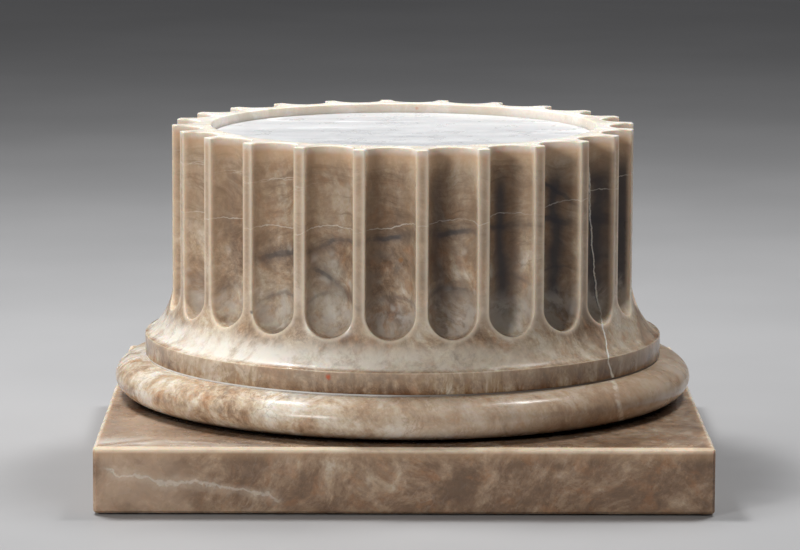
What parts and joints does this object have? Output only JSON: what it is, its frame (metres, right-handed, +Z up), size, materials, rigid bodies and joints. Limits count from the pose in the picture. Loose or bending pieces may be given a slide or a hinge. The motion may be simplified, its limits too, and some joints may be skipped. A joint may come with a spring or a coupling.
{
  "type": "baptismal font",
  "caption": "Low stone font shaped as a fluted column base on a square plinth, with an inset round marble lid over a lined bowl that drains through the base.",
  "frame": {"origin": "middle of the underside of the pads, on the surface that the font stands on", "axes": "+Z up along the axis of the drum and its drain, -Y towards the front, where the lid has its finger notch, +X to the right"},
  "size_m": [0.61, 0.61, 0.3535],
  "materials": {
    "onyx_plinth": "gloss",
    "onyx_torus": "gloss",
    "onyx_drum": "gloss",
    "grey_marble": "satin",
    "white_putty": "matte",
    "mortar": "matte",
    "cork": "matte",
    "dowel_steel": "satin",
    "screw_steel": "satin",
    "spun_brass": "satin",
    "cast_brass": "satin",
    "tube_brass": "satin",
    "polished_brass": "polished",
    "black_rubber": "matte",
    "white_nylon": "satin"
  },
  "bodies": {
    "font_body": {"plinth": "onyx_plinth", "corner_pads": "cork", "lower_bed": "mortar", "lower_dowels": "dowel_steel", "torus_base": "onyx_torus", "upper_bed": "white_putty", "upper_dowels": "dowel_steel", "fluted_drum": "onyx_drum", "lid_cushion_ring": "cork", "bowl_liner": "spun_brass", "liner_bedding_ring": "mortar", "drain_flange": "cast_brass", "grate_crossbar": "cast_brass", "strainer_grate": "cast_brass", "grate_screw": "screw_steel", "upper_drain_gasket": "black_rubber", "lower_drain_gasket": "black_rubber", "friction_washer": "white_nylon", "drain_lock_nut": "cast_brass", "tailpiece_washer": "black_rubber", "slip_nut": "cast_brass", "tailpiece": "tube_brass", "outlet_grommet": "black_rubber"},
    "lid": {"lid": "grey_marble"},
    "stopper": {"stopper_cap": "polished_brass", "stopper_seal": "black_rubber", "stopper_stem": "screw_steel", "stopper_knob": "polished_brass"}
  },
  "joints": [
    {"name": "lid_lift", "type": "slide", "parent": "font_body", "child": "lid", "axis": [0, 0, 1], "range_m": [0, 0.25]},
    {"name": "stopper_lift", "type": "slide", "parent": "font_body", "child": "stopper", "axis": [0, 0, 1], "range_m": [0, 0.06]}
  ]
}
